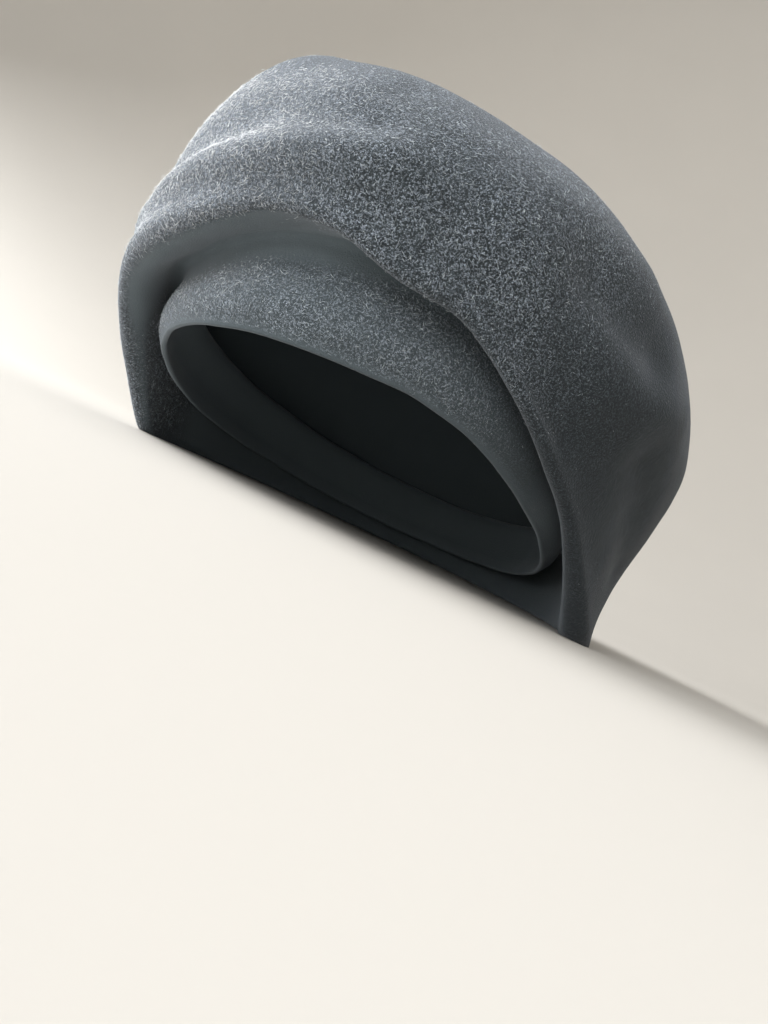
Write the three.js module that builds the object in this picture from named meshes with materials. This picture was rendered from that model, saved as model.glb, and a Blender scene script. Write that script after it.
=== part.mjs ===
// Draped felt toque: one blocked piece of felt, modelled as a closed hollow shell.
// Millimetres, +Z up. The wearer faces -Y and the wearer's left is +X.
//
// The shell is lofted round the head. Every section is a profile in the upright plane at one
// azimuth (degrees from the front, positive towards the wearer's left) and runs
//   rim -> band -> crease (tuck) -> under the fold -> fold lip -> crown side -> shoulder -> top.
// The tables hold one row for each section and one for each dent or ridge that shows.
import * as THREE from 'three';

// ---- driving sizes -----------------------------------------------------------------------
const FELT = 2.2;              // wall thickness of the felt
const HEAD_HALF_WIDTH = 81;    // outside of the band, ear to ear, halved
const HEAD_HALF_DEPTH = 98;    // outside of the band, front to back, halved
const CREASE_RADIUS = 2.6;     // inside radius of the tuck between band and fold
const BAND_BELLY = 0.9;        // outward lean of the band where it leaves the rim
const RIM_ROUND = 0.7;         // how far the rim's rounded edge hangs below its corners
const TOP_HEIGHT = 136;        // middle of the crown over the table
const TOP_SLOPE = { left: -0.13, back: -0.02 };  // rise per mm towards wearer's left and back
const SHOULDER_PITCH = 0.62;   // rise per mm inward where the side turns into the top
const SHOULDER_PULL = 0.85;    // how far the shoulder's tangent reaches, of the straight distance
const TOP_PULL = 0.9;          // the same for the curve from shoulder to middle
const LIP_WRAP = 0.8;          // share of the lip's full turn before the crown side leaves it
const MM_PER_DEGREE = 1.85;    // arc length round the crown side, for the dents

const AZIMUTH_STEPS = 72;
const OUTER_STEPS = { band: 5, crease: 5, under: 3, lip: 6, low: 7, high: 8, top: 8 };
const INNER_STEPS = { band: 3, crease: 4, under: 2, lip: 4, low: 4, high: 5, top: 6 };

// Heights (Z) are over the table. Columns ending in Out are distances outside the head oval.
// A fold height below zero is felt that lies on the table and is flattened there.
const SECTIONS = [
  { az: -165, rimZ: 9, creaseZ: 30, creaseOut: 5, foldOut: 13, foldZ: -1, lip: 4,
    sideOut: 20, sideZ: 58, shoulderOut: 4, shoulderZ: 112 },
  { az: -130, rimZ: 13, creaseZ: 36, creaseOut: 5, foldOut: 12, foldZ: -1, lip: 4,
    sideOut: 23, sideZ: 60, shoulderOut: 3, shoulderZ: 121 },
  { az: -88, rimZ: 21, creaseZ: 47, creaseOut: 5, foldOut: 12, foldZ: -1, lip: 4,
    sideOut: 26, sideZ: 62, shoulderOut: 3, shoulderZ: 128 },
  { az: -75, rimZ: 25, creaseZ: 51, creaseOut: 5, foldOut: 12, foldZ: 14, lip: 4.5,
    sideOut: 25, sideZ: 62, shoulderOut: 1, shoulderZ: 130 },
  { az: -60, rimZ: 30, creaseZ: 55, creaseOut: 4.5, foldOut: 13.5, foldZ: 30, lip: 5.5,
    sideOut: 23, sideZ: 64, shoulderOut: 0, shoulderZ: 132 },
  { az: -43, rimZ: 35, creaseZ: 58, creaseOut: 4, foldOut: 15.5, foldZ: 46, lip: 6,
    sideOut: 20.5, sideZ: 69, shoulderOut: -2, shoulderZ: 134 },
  { az: -30, rimZ: 38, creaseZ: 60.5, creaseOut: 3.4, foldOut: 15, foldZ: 54, lip: 6,
    sideOut: 20.5, sideZ: 73, shoulderOut: -4.3, shoulderZ: 134.3 },
  { az: -18, rimZ: 40.5, creaseZ: 66, creaseOut: 3.4, foldOut: 14, foldZ: 62.7, lip: 5,
    sideOut: 20, sideZ: 80, shoulderOut: -8, shoulderZ: 132 },
  { az: -8, rimZ: 42.5, creaseZ: 71, creaseOut: 3.4, foldOut: 14, foldZ: 70.5, lip: 3.5,
    sideOut: 20, sideZ: 88, shoulderOut: -9, shoulderZ: 130.5 },
  { az: 3, rimZ: 43.5, creaseZ: 74, creaseOut: 3.4, foldOut: 14, foldZ: 71.5, lip: 3.2,
    sideOut: 20, sideZ: 92, shoulderOut: -9, shoulderZ: 128.4 },
  { az: 14, rimZ: 44.5, creaseZ: 76, creaseOut: 3.4, foldOut: 14, foldZ: 66.5, lip: 3,
    sideOut: 20, sideZ: 91, shoulderOut: -8, shoulderZ: 126.4 },
  { az: 24, rimZ: 45, creaseZ: 76, creaseOut: 3.4, foldOut: 14, foldZ: 64.8, lip: 3,
    sideOut: 21, sideZ: 90, shoulderOut: -6, shoulderZ: 124.7 },
  { az: 29, rimZ: 44, creaseZ: 74, creaseOut: 3.4, foldOut: 14, foldZ: 61, lip: 3,
    sideOut: 21.5, sideZ: 88, shoulderOut: -4.5, shoulderZ: 124 },
  { az: 34, rimZ: 43, creaseZ: 72, creaseOut: 3.4, foldOut: 14, foldZ: 56.5, lip: 3,
    sideOut: 22, sideZ: 86, shoulderOut: -3, shoulderZ: 123 },
  { az: 47, rimZ: 38, creaseZ: 65, creaseOut: 4, foldOut: 14, foldZ: 44, lip: 3,
    sideOut: 24.5, sideZ: 80, shoulderOut: 1, shoulderZ: 119 },
  { az: 61, rimZ: 32, creaseZ: 57, creaseOut: 4, foldOut: 15, foldZ: 30, lip: 3.2,
    sideOut: 28, sideZ: 74, shoulderOut: 5, shoulderZ: 114 },
  { az: 72, rimZ: 28, creaseZ: 51, creaseOut: 4.5, foldOut: 17, foldZ: 15, lip: 4,
    sideOut: 29.5, sideZ: 69, shoulderOut: 8, shoulderZ: 109 },
  { az: 83, rimZ: 24, creaseZ: 47, creaseOut: 5, foldOut: 20, foldZ: -1, lip: 5.5,
    sideOut: 31, sideZ: 65, shoulderOut: 10, shoulderZ: 104 },
  { az: 120, rimZ: 15, creaseZ: 37, creaseOut: 5, foldOut: 18, foldZ: -1, lip: 4,
    sideOut: 27, sideZ: 60, shoulderOut: 8, shoulderZ: 103 },
  { az: 160, rimZ: 10, creaseZ: 30, creaseOut: 5, foldOut: 14, foldZ: -1, lip: 4,
    sideOut: 21, sideZ: 58, shoulderOut: 4, shoulderZ: 108 },
];
const SECTION_COLUMNS = Object.keys(SECTIONS[0]).filter((column) => column !== 'az');

// Dents (rise below zero) and ridges (rise above zero) on the crown, each along a line from
// one azimuth and height to another. spread is how far to each side the felt takes to settle.
const DRAPES = [
  { name: 'crest of the right-hand roll', az1: -50, z1: 65, az2: -18, z2: 80, spread: 6.5, rise: 2.0 },
  { name: 'crest over the brow', az1: -12, z1: 83, az2: 6, z2: 91, spread: 6.5, rise: 1.8 },
  { name: 'valley over that roll', az1: -40, z1: 79, az2: -21, z2: 93, spread: 8, rise: -2.8 },
  { name: 'valley over the brow', az1: -15, z1: 97, az2: 2, z2: 102, spread: 8, rise: -2.8 },
  { name: 'hollow in the front', az1: 2, z1: 115, az2: 17, z2: 90, spread: 9, rise: -1.5 },
  { name: 'dent in the left side', az1: 39, z1: 90, az2: 55, z2: 87, spread: 11, rise: -4.2 },
  { name: 'brow over that dent', az1: 30, z1: 108, az2: 53, z2: 107, spread: 8, rise: 1 },
  { name: 'ridge under that dent', az1: 48, z1: 67, az2: 68, z2: 78, spread: 8, rise: 1.4 },
  { name: 'groove beside the fold', az1: 30, z1: 69, az2: 47, z2: 52, spread: 5, rise: -1.0 },
  { name: 'hollow over the left foot', az1: 66, z1: 58, az2: 84, z2: 30, spread: 9, rise: -2.6 },
];

// ---- plane geometry ----------------------------------------------------------------------
const radians = THREE.MathUtils.degToRad;
const point = (r, z) => new THREE.Vector2(r, z);

/** Cubic Hermite curve from p to q, without p itself. */
function hermite(p, q, tangentP, tangentQ, steps) {
  const points = [];
  for (let i = 1; i <= steps; i += 1) {
    const t = i / steps;
    const t2 = t * t;
    const t3 = t2 * t;
    points.push(point(0, 0)
      .addScaledVector(p, 2 * t3 - 3 * t2 + 1)
      .addScaledVector(tangentP, t3 - 2 * t2 + t)
      .addScaledVector(q, 3 * t2 - 2 * t3)
      .addScaledVector(tangentQ, t3 - t2));
  }
  return points;
}

/** Arc round a centre from one angle to another (radians), without its first point. */
function arc(centre, radius, from, to, steps) {
  const points = [];
  for (let i = 1; i <= steps; i += 1) {
    const angle = from + (to - from) * (i / steps);
    points.push(point(centre.x + radius * Math.cos(angle), centre.y + radius * Math.sin(angle)));
  }
  return points;
}

/** Straight run from p to q, without p itself. */
function straight(p, q, steps) {
  const points = [];
  for (let i = 1; i <= steps; i += 1) points.push(p.clone().lerp(q, i / steps));
  return points;
}

// ---- the section at one azimuth ----------------------------------------------------------
/** Radius of the head oval, measured over the band. */
function headOval(az) {
  const across = Math.sin(radians(az)) / HEAD_HALF_WIDTH;
  const along = Math.cos(radians(az)) / HEAD_HALF_DEPTH;
  return 1 / Math.hypot(across, along);
}

/** The section row at any azimuth: a smooth curve through the rows, closed round the head. */
function sectionAt(az) {
  const count = SECTIONS.length;
  const first = SECTIONS[0].az;
  const turned = ((((az - first) % 360) + 360) % 360) + first;
  let index = count - 1;
  while (SECTIONS[index].az > turned) index -= 1;
  const row = (k) => SECTIONS[(k + count) % count];
  const azOf = (k) => row(k).az + 360 * Math.floor(k / count);
  const knots = [-1, 0, 1, 2].map((shift) => azOf(index + shift));
  const span = knots[2] - knots[1];
  const t = (turned - knots[1]) / span;
  const section = {};
  for (const column of SECTION_COLUMNS) {
    const values = [-1, 0, 1, 2].map((shift) => row(index + shift)[column]);
    const slopes = [0, 1, 2].map((k) => (values[k + 1] - values[k]) / (knots[k + 1] - knots[k]));
    const slopeIn = (slopes[0] * span + slopes[1] * (knots[1] - knots[0])) / (knots[2] - knots[0]);
    const slopeOut = (slopes[1] * (knots[3] - knots[2]) + slopes[2] * span) / (knots[3] - knots[1]);
    section[column] = (2 * t ** 3 - 3 * t ** 2 + 1) * values[1]
      + (t ** 3 - 2 * t ** 2 + t) * span * slopeIn
      + (3 * t ** 2 - 2 * t ** 3) * values[2]
      + (t ** 3 - t ** 2) * span * slopeOut;
  }
  return section;
}

/** The felt's outer face at one azimuth, from the rim to the middle of the top. */
function bareProfile(az, steps) {
  const s = sectionAt(az);
  const oval = headOval(az);
  const rim = point(oval, s.rimZ);
  const creaseCentre = point(oval + s.creaseOut, s.creaseZ - CREASE_RADIUS);
  const lipCentre = point(oval + s.foldOut, s.foldZ + s.lip);
  const side = point(oval + s.sideOut, s.sideZ);
  const shoulder = point(oval + s.shoulderOut, s.shoulderZ);
  const middle = point(0, TOP_HEIGHT);

  const bandTop = point(creaseCentre.x - CREASE_RADIUS, creaseCentre.y);
  const bandHeight = rim.distanceTo(bandTop);
  const leaveRim = point(BAND_BELLY * bandHeight, bandHeight);
  const points = [rim, ...hermite(rim, bandTop, leaveRim, point(0, bandHeight), steps.band)];

  // The crease turns clockwise and the lip counter-clockwise, joined by their crossing tangent.
  const between = lipCentre.clone().sub(creaseCentre);
  const crossing = Math.acos((CREASE_RADIUS + s.lip) / between.length());
  const creaseEnd = Math.atan2(between.y, between.x) + crossing;
  points.push(...arc(creaseCentre, CREASE_RADIUS, Math.PI, creaseEnd, steps.crease));
  const lipStart = creaseEnd + Math.PI;
  const [lipFirst] = arc(lipCentre, s.lip, lipStart, lipStart, 1);
  points.push(...straight(points.at(-1), lipFirst, steps.under));
  const toSide = side.clone().sub(lipCentre);
  let lipEnd = Math.atan2(toSide.y, toSide.x) - LIP_WRAP * Math.acos(s.lip / toSide.length());
  while (lipEnd < lipStart) lipEnd += 2 * Math.PI;
  points.push(...arc(lipCentre, s.lip, lipStart, lipEnd, steps.lip));

  const lipLast = points.at(-1);
  const lowLength = lipLast.distanceTo(side);
  const leaveLip = point(-Math.sin(lipEnd), Math.cos(lipEnd)).multiplyScalar(lowLength);
  points.push(...hermite(lipLast, side, leaveLip, point(0, lowLength), steps.low));

  const turn = point(-1, SHOULDER_PITCH).normalize();
  const highLength = SHOULDER_PULL * side.distanceTo(shoulder);
  const enterShoulder = turn.clone().multiplyScalar(highLength);
  points.push(...hermite(side, shoulder, point(0, highLength), enterShoulder, steps.high));

  const topLength = TOP_PULL * shoulder.x;
  const rise = TOP_SLOPE.left * Math.sin(radians(az)) - TOP_SLOPE.back * Math.cos(radians(az));
  const leaveShoulder = turn.clone().multiplyScalar(topLength);
  const overTop = point(-topLength, -topLength * rise);
  points.push(...hermite(shoulder, middle, leaveShoulder, overTop, steps.top));
  return points;
}

/** How far the felt stands out of the plain crown at an azimuth and height. */
function drapeAt(az, z) {
  let rise = 0;
  for (const drape of DRAPES) {
    const start = point(drape.az1 * MM_PER_DEGREE, drape.z1);
    const line = point(drape.az2 * MM_PER_DEGREE, drape.z2).sub(start);
    const here = point(az * MM_PER_DEGREE, z).sub(start);
    const along = THREE.MathUtils.clamp(here.dot(line) / line.lengthSq(), 0, 1);
    const distance = here.distanceTo(line.multiplyScalar(along));
    rise += drape.rise * Math.exp(-((distance / drape.spread) ** 2));
  }
  return rise;
}

/** Unit normal of a profile at one of its points, out of the felt's outer face. */
function profileNormal(points, index) {
  const before = points[Math.max(index - 1, 0)];
  const after = points[Math.min(index + 1, points.length - 1)];
  return point(after.y - before.y, before.x - after.x).normalize();
}

/** Outer or inner face of the felt at one azimuth, draped, and flattened on the table. */
function feltProfile(az, steps, depth) {
  const bare = bareProfile(az, steps);
  const crownStart = 1 + steps.band + steps.crease + steps.under + steps.lip;
  const draped = bare.map((p, i) => {
    if (i < crownStart || p.x === 0) return p;
    return p.clone().addScaledVector(profileNormal(bare, i), drapeAt(az, p.y));
  });
  return draped.map((p, i) => {
    const shifted = p.clone().addScaledVector(profileNormal(draped, i), -depth);
    if (i === 0) shifted.set(p.x - depth, p.y);
    if (i === draped.length - 1) shifted.set(0, p.y - depth);
    shifted.y = Math.max(shifted.y, depth);
    return shifted;
  });
}

// ---- the shell ---------------------------------------------------------------------------
/** One closed loop of the felt's section: up the inner face from its pole, round the rim, back. */
function sectionLoop(az) {
  const outer = feltProfile(az, OUTER_STEPS, 0);
  const inner = feltProfile(az, INNER_STEPS, FELT);
  const edge = point((outer[0].x + inner[0].x) / 2, outer[0].y - RIM_ROUND);
  return [...inner.slice(0, -1).reverse(), edge, ...outer.slice(0, -1)];
}

/** The lofted shell as a closed mesh, with one vertex at each pole of the top. */
function feltShell() {
  const positions = [];
  const faces = [];
  let ring = 0;
  for (let i = 0; i < AZIMUTH_STEPS; i += 1) {
    const az = (360 * i) / AZIMUTH_STEPS - 180;
    const loop = sectionLoop(az);
    ring = loop.length;
    for (const p of loop) positions.push(p.x * Math.sin(radians(az)), -p.x * Math.cos(radians(az)), p.y);
  }
  const innerPole = AZIMUTH_STEPS * ring;
  const outerPole = innerPole + 1;
  positions.push(0, 0, TOP_HEIGHT - FELT, 0, 0, TOP_HEIGHT);
  for (let i = 0; i < AZIMUTH_STEPS; i += 1) {
    const here = i * ring;
    const next = ((i + 1) % AZIMUTH_STEPS) * ring;
    faces.push(innerPole, next, here);
    for (let k = 0; k < ring - 1; k += 1) {
      faces.push(here + k, next + k, here + k + 1);
      faces.push(next + k, next + k + 1, here + k + 1);
    }
    faces.push(here + ring - 1, next + ring - 1, outerPole);
  }
  const geometry = new THREE.BufferGeometry();
  geometry.setAttribute('position', new THREE.Float32BufferAttribute(positions, 3));
  geometry.setIndex(faces);
  return geometry;
}

/** Sets a geometry down on the table with the middle of its box over the origin. */
function centreOnTable(geometry) {
  geometry.computeBoundingBox();
  const { min, max } = geometry.boundingBox;
  geometry.translate(-(min.x + max.x) / 2, -(min.y + max.y) / 2, -min.z);
  geometry.computeVertexNormals();
  return geometry;
}

const felt = new THREE.MeshStandardMaterial({ color: 0x2b2d31, roughness: 0.95, metalness: 0 });

const feltBody = new THREE.Mesh(centreOnTable(feltShell()), felt);
feltBody.name = 'felt_body';

const toque = new THREE.Group();
toque.add(feltBody);

export default toque;
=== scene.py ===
"""Draped felt toque: the felt's full surface, its brushed nap and a plain studio.

The script is laid out as a Blender add-on and is run as a script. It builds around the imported
model: the shell of felt follows the same sections as the CAD solid and replaces it. Tables are
in millimetres and degrees, as a hatter would measure; the model is in metres, Z up. The wearer
faces -Y and the wearer's left is +X. An azimuth is 0 at the front and grows towards the left.
"""

import math

import bpy
import numpy as np
from mathutils import Matrix, Vector


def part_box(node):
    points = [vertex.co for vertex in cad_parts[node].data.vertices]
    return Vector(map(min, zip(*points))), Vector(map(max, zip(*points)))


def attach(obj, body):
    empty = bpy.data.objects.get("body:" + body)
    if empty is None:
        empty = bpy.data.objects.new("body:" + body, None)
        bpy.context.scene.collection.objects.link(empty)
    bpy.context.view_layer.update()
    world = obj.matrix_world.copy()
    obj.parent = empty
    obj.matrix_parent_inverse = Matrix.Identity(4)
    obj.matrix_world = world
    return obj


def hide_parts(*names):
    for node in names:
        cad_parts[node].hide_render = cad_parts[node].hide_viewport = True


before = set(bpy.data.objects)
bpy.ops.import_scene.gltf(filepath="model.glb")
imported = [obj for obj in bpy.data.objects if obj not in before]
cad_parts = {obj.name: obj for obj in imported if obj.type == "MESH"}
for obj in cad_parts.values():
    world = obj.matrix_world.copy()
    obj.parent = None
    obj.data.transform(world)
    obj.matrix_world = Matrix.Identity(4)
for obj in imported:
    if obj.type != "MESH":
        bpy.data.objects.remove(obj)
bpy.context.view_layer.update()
FELT_LOW, FELT_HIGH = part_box("felt_body")
HAT_MIDDLE = (FELT_LOW + FELT_HIGH) / 2

bl_info = {
    "name": "Draped Felt Toque",
    "version": (1, 0, 0),
    "blender": (4, 5, 0),
    "location": "View3D > Sidebar > Toque",
    "description": "Models a draped felt toque with its nap, and the studio it stands in",
    "category": "Add Mesh",
}

MM = 0.001

# ---- the felt's sections ---------------------------------------------------------------------
HEAD_HALF_WIDTH = 81.0     # outside of the band, ear to ear, halved
HEAD_HALF_DEPTH = 98.0     # outside of the band, front to back, halved
CREASE_RADIUS = 2.6        # inside radius of the tuck between band and fold
BAND_BELLY = 0.9           # outward lean of the band where it leaves the rim
TOP_HEIGHT = 136.0         # middle of the crown over the table
TOP_SLOPE_LEFT = -0.13     # rise per mm towards the wearer's left
TOP_SLOPE_BACK = -0.02     # and towards the back
SHOULDER_PITCH = 0.62      # rise per mm inward where the side turns into the top
SHOULDER_PULL = 0.85       # how far the shoulder's tangent reaches, of the straight distance
TOP_PULL = 0.9             # the same for the curve from shoulder to middle
LIP_WRAP = 0.8             # share of the lip's full turn before the crown side leaves it
MM_PER_DEGREE = 1.85       # arc length round the crown side, for the dents

# Steps round the head, and along each stretch of a profile on the outer and inner face.
AZIMUTH_STEPS = 320
OUTER_STEPS = {"band": 12, "crease": 9, "under": 7, "lip": 10, "low": 22, "high": 28, "top": 34}
INNER_STEPS = {"band": 5, "crease": 6, "under": 3, "lip": 6, "low": 8, "high": 10, "top": 12}
RIM_STEPS = 5              # points round the cut edge of the felt

# Heights (Z) are over the table. Columns ending in Out are distances outside the head oval.
# A fold height below zero is felt that lies on the table and is flattened there.
SECTION_COLUMNS = ("az", "rimZ", "creaseZ", "creaseOut", "foldOut", "foldZ", "lip",
                   "sideOut", "sideZ", "shoulderOut", "shoulderZ")
SECTIONS = np.array([
    (-165, 9, 30, 5, 13, -1, 4, 20, 58, 4, 112),
    (-130, 13, 36, 5, 12, -1, 4, 23, 60, 3, 121),
    (-88, 21, 47, 5, 12, -1, 4, 26, 62, 3, 128),
    (-75, 25, 51, 5, 12, 14, 4.5, 25, 62, 1, 130),
    (-60, 30, 55, 4.5, 13.5, 30, 5.5, 23, 64, 0, 132),
    (-43, 35, 58, 4, 15.5, 46, 6, 20.5, 69, -2, 134),
    (-30, 38, 60.5, 3.4, 15, 54, 6, 20.5, 73, -4.3, 134.3),
    (-18, 40.5, 66, 3.4, 14, 62.7, 5, 20, 80, -8, 132),
    (-8, 42.5, 71, 3.4, 14, 70.5, 3.5, 20, 88, -9, 130.5),
    (3, 43.5, 74, 3.4, 14, 71.5, 3.2, 20, 92, -9, 128.4),
    (14, 44.5, 76, 3.4, 14, 66.5, 3, 20, 91, -8, 126.4),
    (24, 45, 76, 3.4, 14, 64.8, 3, 21, 90, -6, 124.7),
    (29, 44, 74, 3.4, 14, 61, 3, 21.5, 88, -4.5, 124),
    (34, 43, 72, 3.4, 14, 56.5, 3, 22, 86, -3, 123),
    (47, 38, 65, 4, 14, 44, 3, 24.5, 80, 1, 119),
    (61, 32, 57, 4, 15, 30, 3.2, 28, 74, 5, 114),
    (72, 28, 51, 4.5, 17, 15, 4, 29.5, 69, 8, 109),
    (83, 24, 47, 5, 20, -1, 5.5, 31, 65, 10, 104),
    (120, 15, 37, 5, 18, -1, 4, 27, 60, 8, 103),
    (160, 10, 30, 5, 14, -1, 4, 21, 58, 4, 108),
])

# Dents (rise below zero) and ridges (rise above zero) on the crown, each along a line from one
# azimuth and height to another. spread is how far to each side the felt takes to settle.
DRAPE_COLUMNS = ("az1", "z1", "az2", "z2", "spread", "rise")
DRAPES = {
    "crest of the right-hand roll": (-50, 65, -18, 80, 6.5, 2.0),
    "crest over the brow": (-12, 83, 6, 91, 6.5, 1.8),
    "valley over that roll": (-40, 79, -21, 93, 8, -2.8),
    "valley over the brow": (-15, 97, 2, 102, 8, -2.8),
    "hollow in the front": (2, 115, 17, 90, 9, -1.5),
    "dent in the left side": (39, 90, 55, 87, 11, -4.2),
    "brow over that dent": (30, 108, 53, 107, 8, 1.0),
    "ridge under that dent": (48, 67, 68, 78, 8, 1.4),
    "groove beside the fold": (30, 69, 47, 52, 5, -1.0),
    "hollow over the left foot": (66, 58, 84, 30, 9, -2.6),
}


def hermite_at(t, p, q, tangent_p, tangent_q):
    """The cubic Hermite curve from p to q, at t of the way."""
    return ((2 * t**3 - 3 * t**2 + 1) * p + (t**3 - 2 * t**2 + t) * tangent_p
            + (3 * t**2 - 2 * t**3) * q + (t**3 - t**2) * tangent_q)


def hermite(p, q, tangent_p, tangent_q, steps):
    """Points along the cubic Hermite curve from p to q, without p itself."""
    return hermite_at(np.arange(1, steps + 1)[:, None] / steps, p, q, tangent_p, tangent_q)


def arc(centre, radius, start, end, steps):
    """Arc round a centre from one angle to another, without its first point."""
    angle = start + (end - start) * np.arange(1, steps + 1) / steps
    return centre + radius * np.column_stack((np.cos(angle), np.sin(angle)))


def straight(p, q, steps):
    """Straight run from p to q, without p itself."""
    return p + (q - p) * np.arange(1, steps + 1)[:, None] / steps


def head_oval(az):
    """Radius of the head oval at an azimuth, or at an array of them, over the band."""
    turn = np.radians(az)
    return 1 / np.hypot(np.sin(turn) / HEAD_HALF_WIDTH, np.cos(turn) / HEAD_HALF_DEPTH)


def section_at(az):
    """The section row at any azimuth: a smooth curve through the rows, closed round the head."""
    first = SECTIONS[0, 0]
    turned = (az - first) % 360 + first
    index = int(np.searchsorted(SECTIONS[:, 0], turned, side="right")) - 1
    around = [index - 1, index, index + 1, index + 2]
    rows = [SECTIONS[k % len(SECTIONS)] for k in around]
    knots = [row[0] + 360 * (k // len(SECTIONS)) for k, row in zip(around, rows)]
    span = knots[2] - knots[1]
    t = (turned - knots[1]) / span
    slopes = [(rows[k + 1] - rows[k]) / (knots[k + 1] - knots[k]) for k in range(3)]
    slope_in = (slopes[0] * span + slopes[1] * (knots[1] - knots[0])) / (knots[2] - knots[0])
    slope_out = (slopes[1] * (knots[3] - knots[2]) + slopes[2] * span) / (knots[3] - knots[1])
    values = hermite_at(t, rows[1], rows[2], span * slope_in, span * slope_out)
    return dict(zip(SECTION_COLUMNS, values))


def bare_profile(az, steps):
    """The felt's outer face at one azimuth, from the rim to the middle of the top."""
    s = section_at(az)
    oval = head_oval(az)
    rim = np.array((oval, s["rimZ"]))
    crease = np.array((oval + s["creaseOut"], s["creaseZ"] - CREASE_RADIUS))
    lip = np.array((oval + s["foldOut"], s["foldZ"] + s["lip"]))
    side = np.array((oval + s["sideOut"], s["sideZ"]))
    shoulder = np.array((oval + s["shoulderOut"], s["shoulderZ"]))
    middle = np.array((0.0, TOP_HEIGHT))

    band_top = crease - (CREASE_RADIUS, 0)
    band_height = np.linalg.norm(band_top - rim)
    leave_rim = band_height * np.array((BAND_BELLY, 1))
    points = [rim[None], hermite(rim, band_top, leave_rim, np.array((0, band_height)), steps["band"])]

    # The crease turns clockwise and the lip counter-clockwise, joined by their crossing tangent.
    between = lip - crease
    crossing = math.acos((CREASE_RADIUS + s["lip"]) / np.linalg.norm(between))
    crease_end = math.atan2(between[1], between[0]) + crossing
    points.append(arc(crease, CREASE_RADIUS, math.pi, crease_end, steps["crease"]))
    lip_start = crease_end + math.pi
    lip_first = arc(lip, s["lip"], lip_start, lip_start, 1)[0]
    points.append(straight(points[-1][-1], lip_first, steps["under"]))
    to_side = side - lip
    wrap = LIP_WRAP * math.acos(s["lip"] / np.linalg.norm(to_side))
    lip_end = math.atan2(to_side[1], to_side[0]) - wrap
    while lip_end < lip_start:
        lip_end += 2 * math.pi
    points.append(arc(lip, s["lip"], lip_start, lip_end, steps["lip"]))

    lip_last = points[-1][-1]
    low = np.linalg.norm(side - lip_last)
    leave_lip = low * np.array((-math.sin(lip_end), math.cos(lip_end)))
    points.append(hermite(lip_last, side, leave_lip, np.array((0, low)), steps["low"]))

    turn = np.array((-1, SHOULDER_PITCH)) / math.hypot(1, SHOULDER_PITCH)
    high = SHOULDER_PULL * np.linalg.norm(shoulder - side)
    points.append(hermite(side, shoulder, np.array((0, high)), high * turn, steps["high"]))

    top = TOP_PULL * shoulder[0]
    slope = TOP_SLOPE_LEFT * math.sin(math.radians(az)) - TOP_SLOPE_BACK * math.cos(math.radians(az))
    points.append(hermite(shoulder, middle, top * turn, np.array((-top, -top * slope)), steps["top"]))
    return np.concatenate(points)


def drape_at(az, z):
    """How far the felt stands out of the plain crown at an azimuth and at heights z."""
    rise = np.zeros_like(z)
    here = np.column_stack((np.full_like(z, az * MM_PER_DEGREE), z))
    for values in DRAPES.values():
        d = dict(zip(DRAPE_COLUMNS, values))
        start = np.array((d["az1"] * MM_PER_DEGREE, d["z1"]))
        line = np.array((d["az2"] * MM_PER_DEGREE, d["z2"])) - start
        along = np.clip((here - start) @ line / (line @ line), 0, 1)
        distance = np.linalg.norm(here - start - along[:, None] * line, axis=1)
        rise += d["rise"] * np.exp(-((distance / d["spread"]) ** 2))
    return rise


def profile_normals(points):
    """Unit normals of a profile, out of the felt's outer face."""
    before = np.vstack((points[:1], points[:-1]))
    after = np.vstack((points[1:], points[-1:]))
    normals = np.column_stack((after[:, 1] - before[:, 1], before[:, 0] - after[:, 0]))
    return normals / np.linalg.norm(normals, axis=1)[:, None]


def felt_profile(az, steps, depth):
    """Outer or inner face of the felt at one azimuth, draped, and flattened on the table."""
    points = bare_profile(az, steps)
    crown = slice(1 + sum(steps[k] for k in ("band", "crease", "under", "lip")), -1)
    points[crown] += profile_normals(points)[crown] * drape_at(az, points[crown, 1])[:, None]
    shifted = points - depth * profile_normals(points)
    shifted[0] = points[0] - (depth, 0)
    shifted[-1] = (0, points[-1, 1] - depth)
    shifted[:, 1] = np.maximum(shifted[:, 1], depth)
    return shifted


def section_loop(az, thickness):
    """The whole section at one azimuth: down the outer face from the top, round the cut edge
    of the rim and up the inner face to the top again."""
    outer = felt_profile(az, OUTER_STEPS, 0)[::-1]
    inner = felt_profile(az, INNER_STEPS, thickness)
    turn = np.linspace(0, math.pi, RIM_STEPS + 2)[1:-1, None]
    middle, reach = (outer[-1] + inner[0]) / 2, (outer[-1] - inner[0]) / 2
    edge = middle + np.cos(turn) * reach - np.sin(turn) * (0, thickness / 2)
    return np.vstack((outer, edge, inner))


# ---- where the nap is worn, and where light is painted on ------------------------------------
# Places and distances are in millimetres, angles in degrees from the front. A pair is where a
# change begins and where it is full.
RUBBED_PLACE = (105, -20, 55)      # middle of the wearer's left side, where the nap is rubbed flat
RUBBED_REACH = (50, 105)           # distances from it: rubbed fully, and whole again
RUBBED_SHARE = 0.85                # how much of the felt's own fibres is gone at its core
BRUSHED_AND_LIT_PLACE = (-52, -109, 90)    # front of the wearer's right side, where the nap is brushed up and painted paler as a pool of light
BRUSHED_AND_LIT_REACH = (22, 68)           # distances from it: fullest and palest, and as usual; the paleness is painted light
BRUSHED_AND_LIT_SHARE = 1.5                # how much of the usual nap is added at its core, partly to stand in for light there
TOP_HEIGHTS = (108, 126)           # heights between which the nap thins towards the top
TOP_SHARE = 0.9                    # how much of the nap is gone on the top
SHELTER = (0.25, 0.7)              # how far in and down felt faces that the fold shelters
SHELTERED_SHARE = 0.03             # how much nap is left there
EDGE_NAP = 0.4                     # how much further round the fold's edge the nap goes at the sides
EDGE_LEFT = (-20, 10)              # angles over which that comes in towards the wearer's left
EDGE_RIGHT = (45, 65)              # and towards the wearer's right
EDGE_BACK = (90, 110)              # angles over which it goes again towards the back
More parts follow.
